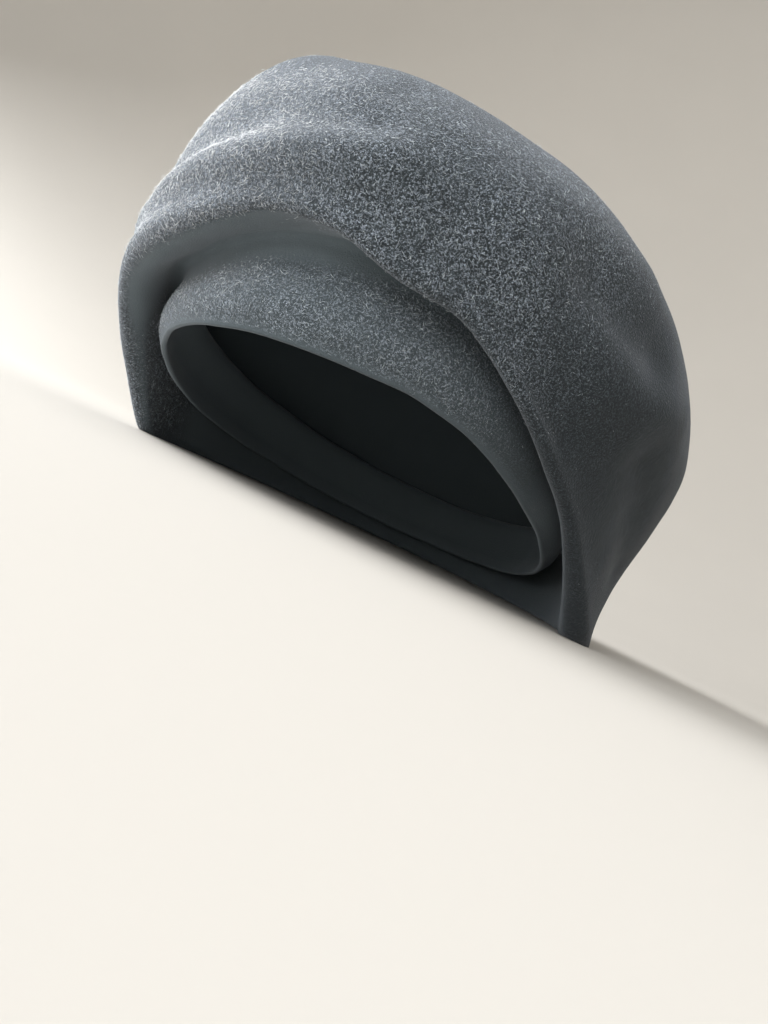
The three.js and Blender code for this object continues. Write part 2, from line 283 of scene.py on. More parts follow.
TUCK_FADE = (3, 12)                # how far below the tuck the band is bare, and whole again
RIM_FADE = (0, 3)                  # how far above the cut edge the nap is thin, and whole again
RIM_SHARE = 0.6                    # how much of it is gone at the edge
EAR_FADE = (42, 72)                # angles between which the nap on the band thins and goes
PAINTED_LIGHT_BAND = 0.3                  # how much of the painted light is also painted on the whole band
SHORTEST = 0.4                     # length of a fibre, of the usual one, where no nap is left

# ---- the tones of felt and fibres ------------------------------------------------------------
# A pair is a range of a noise, whose values lie round one half.
FELT_FINISHES = {
    # name: (how much of the felt's own fibres shows, height of its grain in mm)
    "brushed_felt": (0.8, 0.3),
    "inside_felt": (0.2, 0.15),
}
FUR_NOISES = {
    # name: (cells per mm, detail)
    "Patches": (0.045, 2.0),
    "Mottle": (0.35, 3.0),
    "Grain": (2.2, 2.0),
}
CURLS_PER_MM = 2.4                 # how close the felt's own fibres lie
CURL_THICKNESS = 0.045             # half the width of their lines, as a range of their noise
CURL_WINDING = 0.8                 # how much the lines wind
CURL_BARE = 0.53                   # value of the cutting noise below which no fibre shows
CURL_END = 0.06                    # range of that noise over which a fibre's end fades
CURL_CUTS = 0.7                    # scale of that noise, of the lines'
CURL_SETS = ((0, 0, 0), (31.7, 12.3, 7.9))      # shifts of the sets that cross each other
LIFTED = (0.3, 0.7)                # patches from where the fibres lie low to where they show
LOW_FIBRES = 0.6                   # how much of them shows where they lie low
MOTTLED = (0.3, 0.75)              # mottle from the darkest ground to the usual one
DARKEST_GROUND = 0.6               # tone of the darkest ground, of the usual one
PAINTED_LIGHT_GROUND_COVER = 0.25              # how far the finest fibres hide the ground in the brushed patch, painting light on it
FINEST_FIBRES = 0.5                # their tone, of the fibre colour
TOP_FIBRES = 1.7                   # tone of the topmost fibres in the felt itself
FIBRE_DRIFT = (0.35, 0.65)         # grain from the darkest loose fibres to the palest
DARKEST_FIBRE = 0.35               # tone of the darkest, of the palest
PAINTED_LIGHT_DRIFT = (0.25, 0.6)        # grain from where the painted light in the brushed patch leaves a fibre's tone to its full gain
PAINTED_LIGHT_FIBRE_GAIN = 3.0                 # how much paler the loose fibres are painted in the brushed patch, as painted light
PALEST = 0.95                      # the most that anything here reflects
BACKDROP_CLOUDS = (0.2, 0.8)       # the backdrop's noise from its dim to its pale paint
BACKDROP_DIM, BACKDROP_PALE = 0.985, 1.015      # tones of the two, of the backdrop's colour


# ---- small helpers ---------------------------------------------------------------------------
def deselect_all():
    """Leaves nothing selected, because operators act on everything that is."""
    bpy.ops.object.select_all(action="DESELECT")


def signed_volume(points, triangles):
    """Volume of a closed mesh, below zero if it is inside out."""
    a, b, c = (points[triangles[:, k]] for k in range(3))
    return float(np.einsum("ij,ij->i", a, np.cross(b, c)).sum() / 6)


def read_all(items, name, kind=float, width=1):
    """One property of all of a mesh's vertices, faces or the like, as an array."""
    values = np.empty(len(items) * width, kind)
    items.foreach_get(name, values)
    return values if width == 1 else values.reshape(-1, width)


def mesh_points(mesh):
    """A mesh's vertices as an array."""
    return read_all(mesh.vertices, "co", width=3)


def mesh_triangles(mesh):
    """A mesh's triangles as an array of vertex numbers."""
    mesh.calc_loop_triangles()
    return read_all(mesh.loop_triangles, "vertices", int, 3)


def settle_faces(mesh):
    """Rebuilds a mesh with its faces in the order of their corners. Blender's operators leave
    them in an order that changes from run to run, and the scatter of the nap follows it."""
    faces = []
    for face in mesh.polygons:
        corners = list(face.vertices)
        first = corners.index(min(corners))
        faces.append(corners[first:] + corners[:first])
    points = mesh_points(mesh)
    mesh.clear_geometry()
    mesh.from_pydata(points, [], sorted(faces))


def smooth_step(values, low, high):
    """0 below low, 1 above high, and a smooth rise between."""
    t = np.clip((values - low) / (high - low), 0, 1)
    return t * t * (3 - 2 * t)


def nearness(points, place, reach):
    """1 at points close to a place, falling smoothly to 0 between two distances in millimetres."""
    return 1 - smooth_step(np.linalg.norm(points / MM - place, axis=1), *reach)


def unit(vectors):
    """The vectors, each brought to length one."""
    shortest = 1e-12
    return vectors / np.maximum(np.linalg.norm(vectors, axis=-1, keepdims=True), shortest)


def carried_by_the_hat(piece):
    """Lets a finished piece ride on the hat's one body."""
    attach(piece, "root")


# ---- materials -------------------------------------------------------------------------------
MIX_FIRST, MIX_SECOND, MIX_RESULT = 6, 7, 2     # the colour sockets of a Mix node


def toned(colour, gain):
    """A colour made darker or paler, up to the palest that anything reflects."""
    return tuple(min(PALEST, gain * c) for c in colour)


def add_node(tree, kind, place, **properties):
    """A node at a place in its tree, with its properties set."""
    node = tree.nodes.new(kind)
    node.location = place
    for name, value in properties.items():
        setattr(node, name, value)
    return node


def feed(tree, socket, source):
    """Links a node's input to another node's output, or sets it to a plain value."""
    if isinstance(source, bpy.types.NodeSocket):
        tree.links.new(source, socket)
    else:
        socket.default_value = source


def feed_all(tree, node, sources):
    """Feeds a node's inputs by their names or numbers."""
    for name, source in sources.items():
        feed(tree, node.inputs[name], source)


def maths(tree, operation, place, *sources):
    """A Math node, fed in order. Returns its output."""
    node = add_node(tree, "ShaderNodeMath", place, operation=operation)
    feed_all(tree, node, dict(enumerate(sources)))
    return node.outputs[0]


def noise(tree, place, vector, scale, detail, distortion=0.0):
    """A Noise Texture over a vector. Returns its value output."""
    node = add_node(tree, "ShaderNodeTexNoise", place)
    feed_all(tree, node, {"Vector": vector, "Scale": scale, "Detail": detail,
                          "Distortion": distortion})
    return node.outputs["Fac"]


def ramp(tree, place, value, low, high, to_low=0.0, to_high=1.0):
    """A smooth step from to_low to to_high as value goes from low to high."""
    node = add_node(tree, "ShaderNodeMapRange", place, interpolation_type="SMOOTHSTEP")
    feed_all(tree, node, {"Value": value, "From Min": low, "From Max": high,
                          "To Min": to_low, "To Max": to_high})
    return node.outputs["Result"]


def blend_colours(tree, place, share, first, second):
    """A mix of two colours, each a socket or a plain colour. Returns its colour output."""
    node = add_node(tree, "ShaderNodeMix", place, data_type="RGBA")
    feed(tree, node.inputs["Factor"], share)
    for number, colour in ((MIX_FIRST, first), (MIX_SECOND, second)):
        if not isinstance(colour, bpy.types.NodeSocket):
            colour = (*colour, 1)
        feed(tree, node.inputs[number], colour)
    return node.outputs[MIX_RESULT]


def attribute(tree, place, name):
    """A float attribute of the piece's own points."""
    return add_node(tree, "ShaderNodeAttribute", place, attribute_name=name).outputs["Fac"]


def object_coordinates_in_mm(tree):
    """The piece's own coordinates, in millimetres."""
    coordinates = add_node(tree, "ShaderNodeTexCoord", (-1500, 0))
    scaled = add_node(tree, "ShaderNodeVectorMath", (-1300, 0), operation="SCALE")
    feed_all(tree, scaled, {0: coordinates.outputs["Object"], "Scale": 1 / MM})
    return scaled.outputs[0]


def shared_group(name, inputs, outputs, add_nodes):
    """A node group by its name. It is made once: its inputs with their kinds, its float
    outputs, and its nodes by add_nodes."""
    if name in bpy.data.node_groups:
        return bpy.data.node_groups[name]
    group = bpy.data.node_groups.new(name, "ShaderNodeTree")
    for label, kind in inputs.items():
        group.interface.new_socket(name=label, in_out="INPUT", socket_type=kind)
    for label in outputs:
        group.interface.new_socket(name=label, in_out="OUTPUT", socket_type="NodeSocketFloat")
    start = add_node(group, "NodeGroupInput", (-900, 0))
    end = add_node(group, "NodeGroupOutput", (900, 0))
    add_nodes(group, start.outputs, end.inputs)
    return group


def place_group(tree, place, group, sources):
    """A node group in a material, fed by its inputs' names. Returns its outputs."""
    node = add_node(tree, "ShaderNodeGroup", place, node_tree=group)
    feed_all(tree, node, sources)
    return node.outputs


def curl_lines(group, start, end):
    """The nodes of curled_fibres: thin level lines of a noise, cut into lengths by a second
    noise, in sets that cross each other."""
    curls, bare = start["Curls per mm"], start["Bare"]
    masks = []
    for row, shift in enumerate(CURL_SETS):
        y = -400 * row
        moved = add_node(group, "ShaderNodeVectorMath", (-700, y), operation="ADD")
        feed_all(group, moved, {0: start["Vector"], 1: shift})
        lines = noise(group, (-500, y), moved.outputs[0], curls, detail=1.0,
                      distortion=CURL_WINDING)
        off_middle = maths(group, "SUBTRACT", (-320, y), lines, 0.5)
        off_line = maths(group, "ABSOLUTE", (-140, y), off_middle)
        line = ramp(group, (40, y), off_line, start["Thickness"], 0.0)
        cut_scale = maths(group, "MULTIPLY", (-700, y - 200), curls, CURL_CUTS)
        cuts = noise(group, (-500, y - 200), moved.outputs[0], cut_scale, detail=0.0)
        whole = maths(group, "ADD", (-140, y - 200), bare, CURL_END)
        kept = ramp(group, (40, y - 200), cuts, bare, whole)
        masks.append(maths(group, "MULTIPLY", (260, y), line, kept))
    feed(group, end["Mask"], maths(group, "MAXIMUM", (460, 0), *masks))


def curled_fibres_group():
    """Short curled fibres lying on a surface, as a mask."""
    inputs = {"Vector": "NodeSocketVector", "Curls per mm": "NodeSocketFloat",
              "Thickness": "NodeSocketFloat", "Bare": "NodeSocketFloat"}
    return shared_group("curled_fibres", inputs, ("Mask",), curl_lines)


def fur_changes(group, start, end):
    """The nodes of felt_patches: its noises, and its nearness to the brushed place, where light is
    painted on.
    """
    for row, (label, (scale, detail)) in enumerate(FUR_NOISES.items()):
        value = noise(group, (-100, -220 * row), start["Vector"], scale, detail=detail)
        feed(group, end[label], value)
    # Painted light: nearness to the brushed patch in front, which is painted paler.
    off_brushed = add_node(group, "ShaderNodeVectorMath", (-200, -700), operation="DISTANCE")
    feed_all(group, off_brushed, {0: start["Vector"], 1: BRUSHED_AND_LIT_PLACE})
    brushed = ramp(group, (0, -700), off_brushed.outputs["Value"], *BRUSHED_AND_LIT_REACH, 1.0, 0.0)
    feed(group, end["Brushed"], brushed)


def felt_patches_group():
    """How the fur varies: broad soft patches, its finer mottle and its grain, as values round
    one half, and how near a point is to the patch in front where the nap is brushed up and light is
    painted on."""
    return shared_group("felt_patches", {"Vector": "NodeSocketVector"},
                        (*FUR_NOISES, "Brushed"), fur_changes)


def empty_material(name):
    """A new node material that holds one Principled shader. Returns it, its tree and the shader."""
    material = bpy.data.materials.new(name)
    material.use_nodes = True
    tree = material.node_tree
    tree.nodes.clear()
    shader = add_node(tree, "ShaderNodeBsdfPrincipled", (500, 0))
    output = add_node(tree, "ShaderNodeOutputMaterial", (800, 0))
    feed(tree, output.inputs["Surface"], shader.outputs["BSDF"])
    return material, tree, shader


def felt_ground(tree, felt, patches, nap_left):
    """Colour of the dense felt under its fibres: mottled where the nap is left, half hidden by the
    finest fibres in the brushed patch in front, where that paleness is painted light, and painted
    paler under the fold and on the band, also as painted light."""
    unworn = attribute(tree, (-1050, -700), "unworn")
    mottle = ramp(tree, (-800, -450), patches["Mottle"], *MOTTLED)
    mottle = maths(tree, "MULTIPLY", (-600, -450), nap_left, mottle)
    ground = blend_colours(tree, (-500, -300), mottle, toned(felt.ground_colour, DARKEST_GROUND),
                           felt.ground_colour)
    # Painted light under the fold and on the band takes the fine fibres' cover away.
    fine_fibre_cover = ramp(tree, (-800, -700), unworn, 0.0, PAINTED_LIGHT_BAND, PAINTED_LIGHT_GROUND_COVER, 0.0)
    # Painted light: in the brushed patch in front the ground is painted paler with the fine fibres'
    # tone.
    hidden = maths(tree, "MULTIPLY", (-600, -650), patches["Brushed"], fine_fibre_cover)
    ground = blend_colours(tree, (-400, -300), hidden, ground,
                           toned(felt.fibre_colour, FINEST_FIBRES))
    # Painted light: the ground is painted paler under the fold and on the band.
    return blend_colours(tree, (-300, -300), unworn, ground,
                         toned(felt.ground_colour, felt.painted_light_gain))


def felt_material(name, felt, fibre_share, relief):
    """Pressed fur felt: a dark ground, paler curled fibres over it, and a bloom at grazing
    angles. fibre_share is how much of the fibres shows, relief the height of the grain. The
    piece's nap_left attribute says where the felt is bare, and unworn where the felt is
    painted paler as a stand-in for light under the fold and on the band."""
    material, tree, shader = empty_material(name)
    vector = object_coordinates_in_mm(tree)
    patches = place_group(tree, (-1050, -300), felt_patches_group(), {"Vector": vector})
    fibres = place_group(tree, (-1050, 100), curled_fibres_group(),
                         {"Vector": vector, "Curls per mm": CURLS_PER_MM,
                          "Thickness": CURL_THICKNESS, "Bare": CURL_BARE})
    nap_left = attribute(tree, (-1050, -100), "nap_left")
    lifted = ramp(tree, (-800, -250), patches["Patches"], *LIFTED,
                  LOW_FIBRES * fibre_share, fibre_share)
    lifted = maths(tree, "MULTIPLY", (-600, -150), lifted, nap_left)
    shown = maths(tree, "MULTIPLY", (-400, 80), fibres["Mask"], lifted)
    ground = felt_ground(tree, felt, patches, nap_left)
    colour = blend_colours(tree, (-100, 0), shown, ground, toned(felt.fibre_colour, TOP_FIBRES))
    bump = add_node(tree, "ShaderNodeBump", (150, -400))
    feed_all(tree, bump, {"Strength": 1.0, "Distance": relief, "Height": patches["Grain"]})
    feed_all(tree, shader, {"Base Color": colour, "Normal": bump.outputs["Normal"],
                            "Roughness": 0.95, "Specular IOR Level": 0.15,
                            "Sheen Weight": 0.3, "Sheen Roughness": 0.42,
                            "Sheen Tint": (*felt.sheen_tint, 1)})
    return material


def fibre_material(name, felt, brightness):
    """A loose fibre of the nap: its tone drifts from fibre to fibre, and it is painted paler where
    the nap is brushed up in front, as a painted light that stands in for light falling there."""
    material, tree, shader = empty_material(name)
    vector = object_coordinates_in_mm(tree)
    patches = place_group(tree, (-700, 0), felt_patches_group(), {"Vector": vector})
    dark = toned(felt.fibre_colour, DARKEST_FIBRE * brightness)
    pale = toned(felt.fibre_colour, brightness)
    drift = ramp(tree, (-400, 0), patches["Grain"], *FIBRE_DRIFT)
    usual = blend_colours(tree, (-200, 0), drift, dark, pale)
    # Painted light: the loose fibres are painted paler in the brushed patch in front.
    brushed = ramp(tree, (-400, -300), patches["Grain"], *PAINTED_LIGHT_DRIFT)
    brushed = maths(tree, "MULTIPLY", (-200, -250), patches["Brushed"], brushed)
    colour = blend_colours(tree, (100, 0), brushed, usual, toned(pale, PAINTED_LIGHT_FIBRE_GAIN))
    feed_all(tree, shader, {"Base Color": colour, "Roughness": 0.28, "IOR": 1.8,
                            "Specular IOR Level": 1.0, "Sheen Weight": 0.2,
                            "Sheen Roughness": 0.5, "Sheen Tint": (*felt.sheen_tint, 1)})
    return material


def backdrop_material(colour):
    """Matt painted backdrop with a barely visible unevenness of the roller."""
    material, tree, shader = empty_material("studio_backdrop")
    coordinates = add_node(tree, "ShaderNodeTexCoord", (-900, 0))
    clouds_per_metre = 3.0
    cloud = noise(tree, (-650, 0), coordinates.outputs["Object"], clouds_per_metre, detail=3.0)
    share = ramp(tree, (-400, 0), cloud, *BACKDROP_CLOUDS)
    paint = blend_colours(tree, (-100, 0), share, toned(colour, BACKDROP_DIM),
                          toned(colour, BACKDROP_PALE))
    feed_all(tree, shader, {"Base Color": paint, "Roughness": 0.9, "Specular IOR Level": 0.1})
    return material


# ---- settings --------------------------------------------------------------------------------
class ToqueFelt(bpy.types.PropertyGroup):
    """The felt's thickness, unevenness and colours."""

    thickness: bpy.props.FloatProperty(
        name="Thickness", description="Wall thickness of the felt", default=2.2 * MM,
        min=1.0 * MM, max=3.0 * MM, unit="LENGTH")
    pucker: bpy.props.FloatProperty(
        name="Pucker", description="Height of the felt's broad unevenness", default=0.7 * MM,
        min=0.0, max=3.0 * MM, unit="LENGTH")
    pucker_size: bpy.props.FloatProperty(
        name="Pucker Size", description="Distance over which the felt rises and falls",
        default=22 * MM, min=5 * MM, unit="LENGTH")
    ground_colour: bpy.props.FloatVectorProperty(
        name="Ground", description="Colour of the dense felt under the nap", subtype="COLOR",
        size=3, default=(0.0350, 0.0430, 0.0480), min=0.0, max=1.0)
    fibre_colour: bpy.props.FloatVectorProperty(
        name="Fibre", description="Colour of the loose fibres", subtype="COLOR",
        size=3, default=(0.335, 0.38, 0.445), min=0.0, max=1.0)
    # Painted light: the felt's ground is painted this much paler under the fold and on the band.
    painted_light_gain: bpy.props.FloatProperty(
        name="Painted Light", description="How much paler the felt is where the fold shelters it",
        default=3.1, min=1.0, max=4.0)
    sheen_tint: bpy.props.FloatVectorProperty(
        name="Bloom", description="Colour of the bloom at grazing angles", subtype="COLOR",
        size=3, default=(0.80, 0.85, 0.93), min=0.0, max=1.0)


class ToqueNap(bpy.types.PropertyGroup):
    """The loose fibres that stand out of the felt."""

    length: bpy.props.FloatProperty(
        name="Length", description="Length of a fibre whose row in the table says 1", default=MM,
        min=0.2 * MM, max=5 * MM, unit="LENGTH")
    width: bpy.props.FloatProperty(
        name="Width", description="Usual thickness of a fibre where it is thickest",
        default=0.095 * MM, min=0.02 * MM, max=0.5 * MM, unit="LENGTH")
    stand: bpy.props.FloatProperty(
        name="Stand", description="How far a fibre stands off the felt, of its length",
        default=0.22, min=0.0, max=1.0)
    seed: bpy.props.IntProperty(
        name="Seed", description="Number that the scatter of fibres is drawn from", default=7, min=0)


class ToqueStudio(bpy.types.PropertyGroup):
    """The camera, backdrop and lights."""

    camera_place: bpy.props.FloatVectorProperty(
        name="Camera Place", description="Where the camera stands", subtype="TRANSLATION",
        unit="LENGTH", size=3, default=(0.1025, -0.2934, 0.0100))
    camera_aim: bpy.props.FloatVectorProperty(
        name="Camera Aim", description="The point in the middle of the view",
        subtype="TRANSLATION", unit="LENGTH", size=3, default=(0.0169, -0.0059, 0.0124))
    camera_roll: bpy.props.FloatProperty(
        name="Camera Roll", description="Turn of the camera about its line of sight",
        subtype="ANGLE", default=math.radians(25.4))
    lens: bpy.props.FloatProperty(
        name="Lens", description="Focal length on a 36 mm frame", default=27.8, min=10.0,
        unit="CAMERA")
    backdrop_colour: bpy.props.FloatVectorProperty(
        name="Backdrop", description="Colour of the floor and backdrop", subtype="COLOR",
        size=3, default=(0.62, 0.59, 0.545), min=0.0, max=1.0)
    key_power: bpy.props.FloatProperty(
        name="Key Power", description="Power of the large soft light", default=20.5, min=0.0,
        unit="POWER")
    fill_power: bpy.props.FloatProperty(
        name="Fill Power", description="Power of the soft light beside the camera", default=12.5,
        min=0.0, unit="POWER")
    backdrop_power: bpy.props.FloatProperty(
        name="Backdrop Power", description="Power of the light on the wall behind the hat",
        default=4.0, min=0.0, unit="POWER")
    sky_strength: bpy.props.FloatProperty(
        name="Room Light", description="Strength of the even light of the room", default=0.42,
        min=0.0)


# ---- the felt --------------------------------------------------------------------------------
def model_shell(felt):
    """The felt as one closed shell. A sphere is the start: its rings become the lines round the
    hat, from the top down the outer face to the rim and up the inner face, and its two poles
    the middles of the outer and inner top."""
    thickness = felt.thickness / MM
    loops = np.array([section_loop(360 * k / AZIMUTH_STEPS - 180, thickness)
                      for k in range(AZIMUTH_STEPS)])
    rings = loops.shape[1] - 2
    deselect_all()
    bpy.ops.mesh.primitive_uv_sphere_add(segments=AZIMUTH_STEPS, ring_count=rings + 1, radius=1)
    shell = bpy.context.object
    shell.name = shell.data.name = "felt_shell"
    settle_faces(shell.data)

    ball = mesh_points(shell.data)
    station = np.rint(np.arccos(np.clip(ball[:, 2], -1, 1)) / math.pi * (rings + 1)).astype(int)
    turn = np.arctan2(ball[:, 0], -ball[:, 1])
    step = np.rint((turn + math.pi) / (2 * math.pi) * AZIMUTH_STEPS).astype(int) % AZIMUTH_STEPS
    out, height = loops[step, station].T
    points = np.column_stack((out * np.sin(turn), -out * np.cos(turn), height)) * MM
    middle = (points.min(0) + points.max(0)) / 2
    points += (HAT_MIDDLE.x - middle[0], HAT_MIDDLE.y - middle[1], FELT_LOW.z - points[:, 2].min())
    shell.data.vertices.foreach_set("co", points.ravel())
    shell.data.update()
    if signed_volume(points, mesh_triangles(shell.data)) < 0:
        shell.data.flip_normals()
    bpy.ops.object.shade_smooth()
    return shell, station


def pucker_shell(shell, felt):
    """Soft unevenness of hand-blocked felt, fading out where the felt lies on the table. Both
    faces move the same way, so the felt keeps its thickness."""
    flat, free = 3 * MM, 14 * MM
    weights = np.clip((mesh_points(shell.data)[:, 2] - flat) / (free - flat), 0, 1)
    group_name = "off_the_table"
    group = shell.vertex_groups.new(name=group_name)
    for index, weight in enumerate(weights.tolist()):
        group.add((index,), weight, "REPLACE")
    broad, fine = (felt.pucker_size, felt.pucker), (felt.pucker_size / 3, felt.pucker / 4)
    for size, height in (broad, fine):
        texture = bpy.data.textures.new("felt_pucker", "CLOUDS")
        texture.cloud_type = "COLOR"
        texture.noise_scale = size
        texture.noise_depth = 1
        bpy.ops.object.modifier_add(type="DISPLACE")
        displace = shell.modifiers[-1]
        displace.texture = texture
        displace.texture_coords = "LOCAL"
        displace.direction = "RGB_TO_XYZ"
        displace.mid_level = 0.5
        displace.strength = height
        displace.vertex_group = group_name
        bpy.ops.object.modifier_apply(modifier=displace.name)
        bpy.data.textures.remove(texture)
    shell.vertex_groups.remove(shell.vertex_groups[group_name])


def line_the_inside(shell, station):
    """Gives the second finish to the faces on the felt's inside, past the outer profile."""
    mesh = shell.data
    corners = read_all(mesh.loops, "vertex_index", int)
    starts = read_all(mesh.polygons, "loop_start", int)
    deepest = np.maximum.reduceat(station[corners], starts)
    inside = (deepest > sum(OUTER_STEPS.values())).astype(np.int32)
    mesh.polygons.foreach_set("material_index", inside)
    mesh.update()


def under_the_fold(mesh, az):
    """How far each point of the felt is turned in and down, where the fold shelters it."""
    points = mesh_points(mesh)
    normals = read_all(mesh.vertex_normals, "vector", width=3)
    radius = np.maximum(np.hypot(points[:, 0], points[:, 1]), MM)
    outward = (normals[:, 0] * points[:, 0] + normals[:, 1] * points[:, 1]) / radius
    in_and_down = -(outward + normals[:, 2]) / math.sqrt(2)
    at_the_side = np.maximum(smooth_step(az, *EDGE_LEFT), smooth_step(-az, *EDGE_RIGHT))
    at_the_side *= 1 - smooth_step(np.abs(az), *EDGE_BACK)
    return smooth_step(in_and_down - EDGE_NAP * at_the_side, *SHELTER)


def band_wear(points, az):
    """Which points lie on the band, and how bare it is: below the tuck, at its cut edge and
    towards the ears."""
    columns = dict(zip(SECTION_COLUMNS, SECTIONS.T))
    rim, crease, crease_out = (np.interp(az, columns["az"], columns[name], period=360)
                               for name in ("rimZ", "creaseZ", "creaseOut"))
    out = np.hypot(points[:, 0], points[:, 1]) / MM - head_oval(az)
    height = points[:, 2] / MM
    on_band = (out < crease_out + CREASE_RADIUS) & (height < crease + CREASE_RADIUS)
    near_tuck = 1 - smooth_step(crease - height, *TUCK_FADE)
    near_rim = RIM_SHARE * (1 - smooth_step(height - rim, *RIM_FADE))
    near_ear = smooth_step(np.abs(az), *EAR_FADE)
    return on_band, on_band * np.maximum.reduce((near_tuck, near_rim, near_ear))


def mark_wear_and_painted_light(shell):
    """Writes three attributes on the shell's points. sheltered is 1 under the fold, on its inner
    side and on the band just below the tuck. nap_left is 0 where the felt is sheltered or
    rubbed. unworn is 1 where the felt is painted palest, as a stand-in for light under the fold."""
    points = mesh_points(shell.data)
    az = np.degrees(np.arctan2(points[:, 0], -points[:, 1]))
    on_band, bare_band = band_wear(points, az)
    sheltered = np.maximum(under_the_fold(shell.data, az), bare_band)
    rubbed = RUBBED_SHARE * nearness(points, RUBBED_PLACE, RUBBED_REACH)
    marks = {"sheltered": sheltered, "nap_left": (1 - sheltered) * (1 - rubbed),
             # unworn marks where the ground is painted paler as a stand-in for light.
             "unworn": np.maximum(sheltered, PAINTED_LIGHT_BAND * on_band)}
    for name, values in marks.items():
        shell.data.attributes.new(name, "FLOAT", "POINT").data.foreach_set("value", values)


class TOQUE_OT_model_felt(bpy.types.Operator):
    """Models the felt shell over the CAD solid and gives it its two finishes"""

    bl_idname = "toque.model_felt"
    bl_label = "Model Felt"
    bl_options = {"REGISTER", "UNDO"}

    def execute(self, context):
        felt = context.scene.toque_felt
        shell, station = model_shell(felt)
        pucker_shell(shell, felt)
        for name, (fibre_share, relief) in FELT_FINISHES.items():
            shell.data.materials.append(felt_material(name, felt, fibre_share, relief * MM))
        line_the_inside(shell, station)
        mark_wear_and_painted_light(shell)
        carried_by_the_hat(shell)
        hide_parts("felt_body")
        return {"FINISHED"}


# ---- the nap ---------------------------------------------------------------------------------
FIBRE_SIDES = 3
# Lengths are of the panel's Length, wave is how far a fibre follows a wave instead of a plain
# curl, rubbed is how much of the nap is gone where it is rubbed flat, and a fibre without rings
# between its root and tip is a cone.
NAP_COLUMNS = ("fibres", "rings", "length", "wave", "rubbed", "brightness")
NAP_PIECES = {
    "nap_dim": (43500, 0, 0.85, 0.0, 0.2, 0.55),
    "nap_grey": (49500, 0, 0.8, 0.0, 0.8, 1.3),
    "nap_pale": (49500, 0, 0.7, 0.0, 0.95, 2.1),
    "nap_silver": (16500, 1, 1.15, 0.0, 0.97, 2.4),
    "nap_long": (6000, 3, 2.0, 1.0, 0.97, 2.4),
}

# Fibres differ: a pair is the least and most of the usual, a spread is a standard deviation in
# fibre lengths.
LENGTHS = (0.5, 1.5)
STANDS = (0.1, 1.6)
WIDTHS = (0.7, 1.3)
CURL_SPREAD = 0.5          # how far a tip curls to either side
WAVE_SPREAD = 0.12         # height of the waves of a wavy fibre
WAVE_DRAW = 0.3            # how far waves draw back a fibre's tip, of its length
ARCH = 0.7                 # part of a half wave by which fibres rise and come over
ROOT_DEPTH = 0.05 * MM     # how far a root is sunk into the felt
OFF_TABLE = 0.3 * MM       # height below which no fibre is rooted
CLEARANCE = 0.02 * MM      # least height of a fibre over the table


def fibre_pattern(rings):
    """One fibre, modelled once, with Z from 0 at the root to 1 at the tip: a three-sided cone,
    or, with rings, a three-sided ball that is drawn out along its axis. Returns its points and
    its triangles."""
    deselect_all()
    if rings:
        bpy.ops.mesh.primitive_uv_sphere_add(segments=FIBRE_SIDES, ring_count=rings + 1, radius=1)
    else:
        bpy.ops.mesh.primitive_cone_add(vertices=FIBRE_SIDES, radius1=1, radius2=0, depth=1,
                                        location=(0, 0, 0))
    model = bpy.context.object
    settle_faces(model.data)
    bpy.ops.object.mode_set(mode="EDIT")
    bpy.ops.mesh.select_all(action="SELECT")
    bpy.ops.mesh.quads_convert_to_tris()
    bpy.ops.object.mode_set(mode="OBJECT")
    points, triangles = mesh_points(model.data), mesh_triangles(model.data)
    bpy.data.meshes.remove(model.data)
    if rings:
        points[:, 2] = np.arccos(np.clip(points[:, 2], -1, 1)) / math.pi
    else:
        points[:, 2] += 0.5
    return points, triangles


def fibre_map(pattern, triangles, count):
    """A square of the UV map for every fibre, in which its sides lie next to each other.
    Returns the place of each triangle's three corners."""
    margin, pole_radius = 0.08, 1e-6
    turn = np.arctan2(pattern[:, 1], pattern[:, 0])[triangles]
    pole = np.hypot(pattern[:, 0], pattern[:, 1])[triangles] < pole_radius
    step = 2 * math.pi / FIBRE_SIDES
    facing = np.angle(np.where(pole, 0, np.exp(1j * turn)).sum(axis=1, keepdims=True))
    column = np.floor(facing % (2 * math.pi) / step)
    across = np.angle(np.exp(1j * (turn - facing))) / step
    u = (column + 0.5 + np.where(pole, 0, across)) / FIBRE_SIDES
    corners = np.stack((u, pattern[:, 2][triangles]), axis=-1)
    corners = margin + (1 - 2 * margin) * corners
    side = math.ceil(math.sqrt(count))
    cell = np.stack((np.arange(count) % side, np.arange(count) // side), axis=-1)
    return ((cell[:, None, None] + corners[None]) / side).reshape(-1, 3, 2)


def nap_cover(points, rubbed_share):
    """How much nap stands at each point in the open, against the usual amount. It is brushed up
    in front, where the added pale fibres also stand in for light (painted light), thinner on the top
    and rubbed flat on the wearer's left."""
    rubbed = rubbed_share * nearness(points, RUBBED_PLACE, RUBBED_REACH)
    # More nap in the brushed patch in front, partly as a stand-in for light falling there.
    brushed = BRUSHED_AND_LIT_SHARE * nearness(points, BRUSHED_AND_LIT_PLACE, BRUSHED_AND_LIT_REACH)
    top = TOP_SHARE * smooth_step(points[:, 2] / MM, *TOP_HEIGHTS)
    return (1 + brushed) * (1 - top) * (1 - rubbed)


